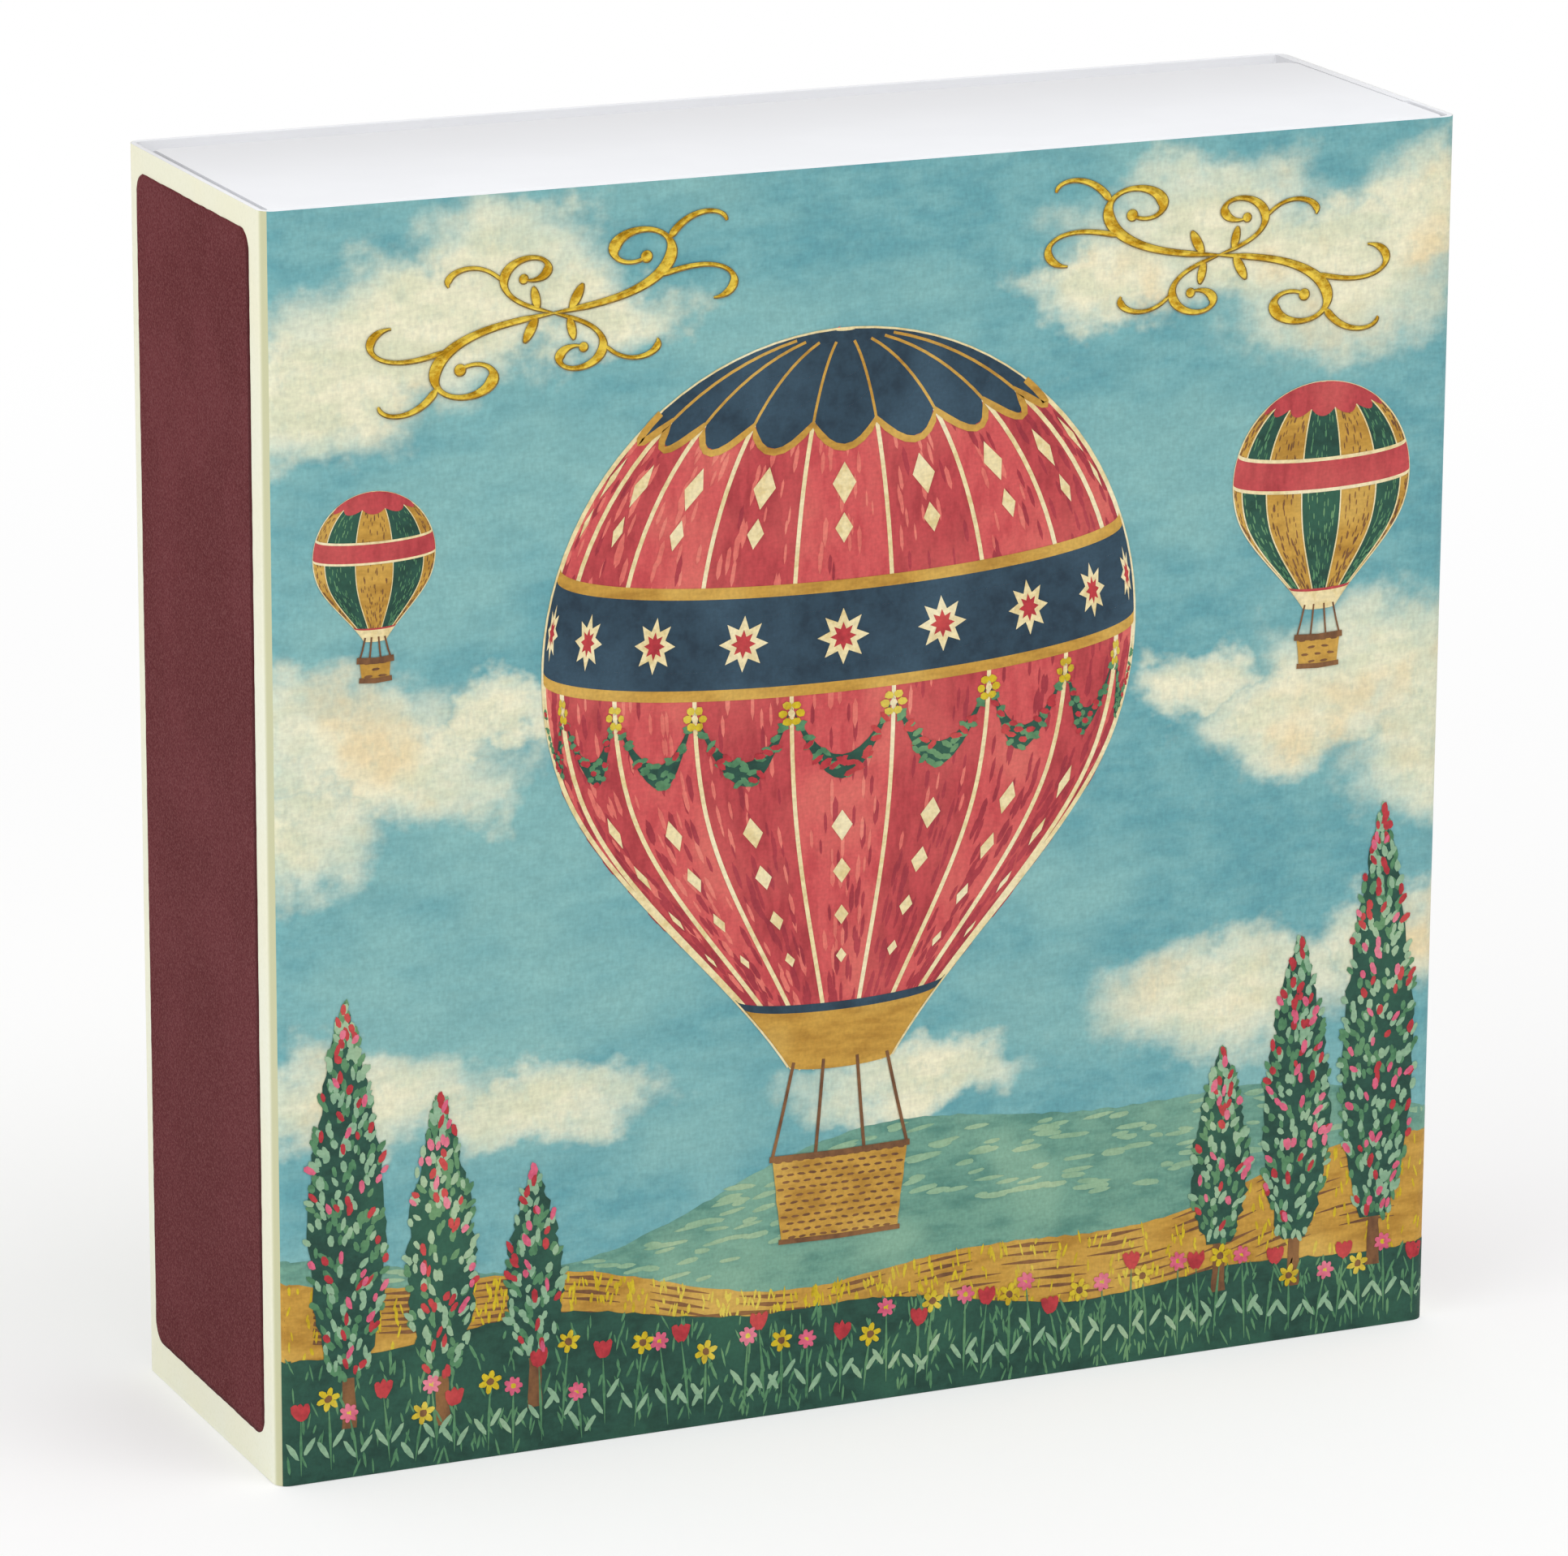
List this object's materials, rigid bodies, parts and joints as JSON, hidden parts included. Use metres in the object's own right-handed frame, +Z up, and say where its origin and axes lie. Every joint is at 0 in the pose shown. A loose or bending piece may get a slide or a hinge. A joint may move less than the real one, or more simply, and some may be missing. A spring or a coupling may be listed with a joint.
{
  "type": "matchbox",
  "caption": "Square standing matchbox: printed card sleeve with a striker on each narrow side, and a sliding card tray of long matches.",
  "frame": {"origin": "middle of the end that the box stands on, on the standing plane", "axes": "+Z up along the tray's slide; the printed face looks along -Y; +X to the right of the printed face"},
  "size_m": [0.1102, 0.033, 0.11],
  "materials": {
    "printed_card": "matt printed face, cream sides and back, white inside",
    "white_card": "uncoated white",
    "striker_coat": "fine gritty maroon coat in a resin binder",
    "match_wood": "sawn aspen with a dipped coral red head"
  },
  "bodies": {
    "sleeve": {"sleeve": "printed_card", "striker_left": "striker_coat", "striker_right": "striker_coat"},
    "drawer": {"tray": "white_card", "match_01": "match_wood", "match_02": "match_wood", "match_03": "match_wood", "match_04": "match_wood", "match_05": "match_wood", "match_06": "match_wood", "match_07": "match_wood", "match_08": "match_wood", "match_09": "match_wood", "match_10": "match_wood", "match_11": "match_wood", "match_12": "match_wood", "match_13": "match_wood", "match_14": "match_wood", "match_15": "match_wood", "match_16": "match_wood", "match_17": "match_wood", "match_18": "match_wood", "match_19": "match_wood", "match_20": "match_wood", "match_21": "match_wood", "match_22": "match_wood", "match_23": "match_wood", "match_24": "match_wood", "match_25": "match_wood", "match_26": "match_wood", "match_27": "match_wood", "match_28": "match_wood", "match_29": "match_wood", "match_30": "match_wood", "match_31": "match_wood", "match_32": "match_wood", "match_33": "match_wood", "match_34": "match_wood", "match_35": "match_wood", "match_36": "match_wood", "match_37": "match_wood", "match_38": "match_wood", "match_39": "match_wood", "match_40": "match_wood", "match_41": "match_wood", "match_42": "match_wood", "match_43": "match_wood", "match_44": "match_wood", "match_45": "match_wood", "match_46": "match_wood", "match_47": "match_wood", "match_48": "match_wood", "match_49": "match_wood", "match_50": "match_wood", "match_51": "match_wood"}
  },
  "joints": [
    {"name": "tray_slide", "type": "slide", "parent": "sleeve", "child": "drawer", "axis": [0, 0, 1], "range_m": [-0.095, 0.095]}
  ]
}
